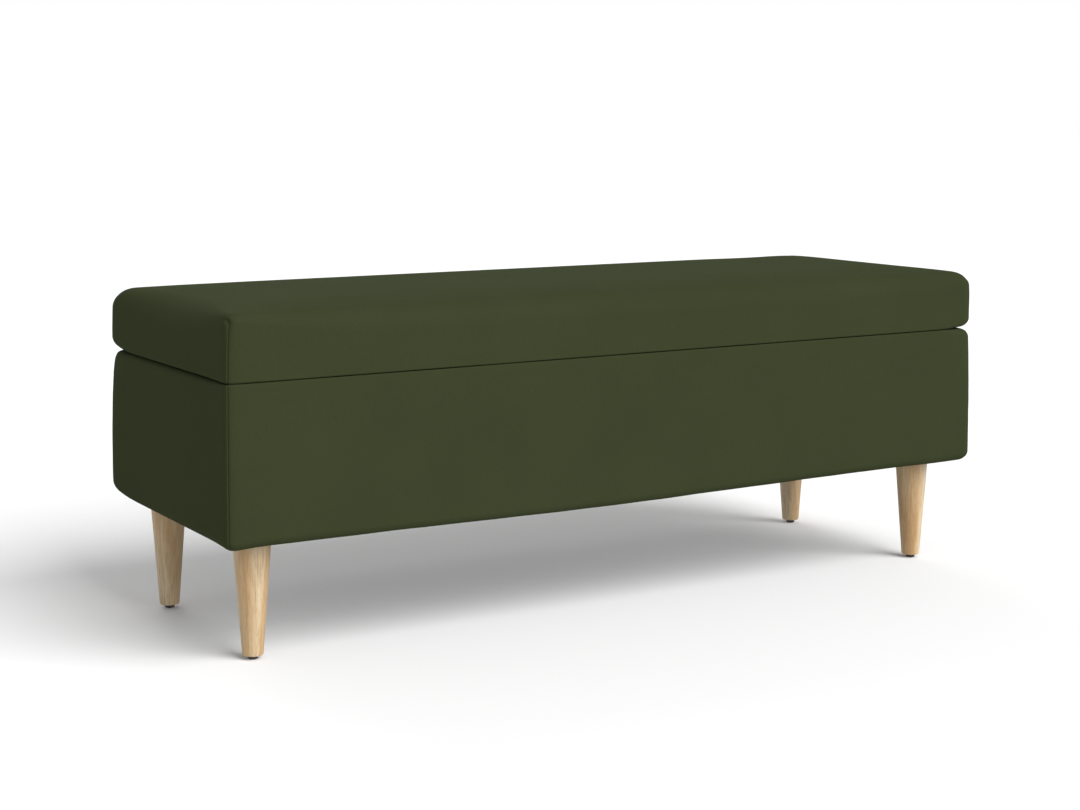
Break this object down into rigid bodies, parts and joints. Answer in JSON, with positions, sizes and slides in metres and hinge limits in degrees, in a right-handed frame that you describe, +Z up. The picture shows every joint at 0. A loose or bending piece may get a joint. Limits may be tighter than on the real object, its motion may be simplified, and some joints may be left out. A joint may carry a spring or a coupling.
{
  "type": "storage ottoman",
  "caption": "Long upholstered storage bench with a padded lid hinged along its back over a lined storage box, on round tapered wooden legs with plastic glides.",
  "frame": {"origin": "on the floor, below the middle of the bench", "axes": "+X along the length to the right end, -Y the front, +Z up"},
  "size_m": [1.2, 0.428, 0.448],
  "materials": {
    "leg_wood": "clear matt lacquer on light oak",
    "glide_plastic": "moulded",
    "zinc_steel": "zinc plated",
    "black_steel": "black powder coat",
    "frame_wood": "sawn softwood",
    "plywood": "sanded plywood",
    "foam": "polyurethane foam",
    "olive_fabric": "fine matt weave, dark olive",
    "lining_fabric": "black polyester lining",
    "black_nonwoven": "black spun-bonded cloth",
    "bumper_rubber": "matt"
  },
  "bodies": {
    "base": {"leg_front_left": "leg_wood", "leg_front_right": "leg_wood", "leg_back_left": "leg_wood", "leg_back_right": "leg_wood", "glide_front_left": "glide_plastic", "glide_front_right": "glide_plastic", "glide_back_left": "glide_plastic", "glide_back_right": "glide_plastic", "hanger_bolts": "zinc_steel", "threaded_inserts": "zinc_steel", "leg_blocks": "frame_wood", "floor_rail_front": "frame_wood", "floor_rail_back": "frame_wood", "floor_rail_centre": "frame_wood", "floor_screws": "zinc_steel", "floor_panel": "plywood", "panel_front": "plywood", "panel_back": "plywood", "panel_left": "plywood", "panel_right": "plywood", "panel_screws": "zinc_steel", "base_foam_front": "foam", "base_foam_back": "foam", "base_foam_left": "foam", "base_foam_right": "foam", "base_cover": "olive_fabric", "storage_lining": "lining_fabric", "dust_cover": "black_nonwoven", "rim_bumpers": "bumper_rubber", "hinge_base_leaf_left": "black_steel", "hinge_base_leaf_right": "black_steel", "hinge_pins": "zinc_steel", "hinge_base_screws": "zinc_steel", "stay_stud_left": "zinc_steel", "stay_stud_right": "zinc_steel", "stay_stud_screws": "zinc_steel"},
    "lid": {"lid_board": "plywood", "lid_foam": "foam", "lid_cover": "olive_fabric", "lid_undercloth": "black_nonwoven", "hinge_lid_leaf_left": "black_steel", "hinge_lid_leaf_right": "black_steel", "hinge_lid_screws": "zinc_steel", "stay_bracket_left": "zinc_steel", "stay_bracket_right": "zinc_steel", "stay_bracket_screws": "zinc_steel", "stay_rivets": "zinc_steel"},
    "left_stay": {"stay_arm_left": "zinc_steel"},
    "right_stay": {"stay_arm_right": "zinc_steel"}
  },
  "joints": [
    {"name": "lid_hinge", "type": "hinge", "parent": "base", "child": "lid", "pos_m": [0, 0.2105, 0.3555], "axis": [-1, 0, 0], "range_deg": [0, 95]},
    {"name": "left_stay_pivot", "type": "hinge", "parent": "lid", "child": "left_stay", "pos_m": [-0.5655, 0.12623, 0.34441], "axis": [-1, 0, 0], "range_deg": [-47.5, 0]},
    {"name": "right_stay_pivot", "type": "hinge", "parent": "lid", "child": "right_stay", "pos_m": [0.5655, 0.12623, 0.34441], "axis": [-1, 0, 0], "range_deg": [-47.5, 0]}
  ],
  "couplings": [
    {"joint": "left_stay_pivot", "follows": "lid_hinge", "ratio": -0.5},
    {"joint": "right_stay_pivot", "follows": "lid_hinge", "ratio": -0.5}
  ]
}
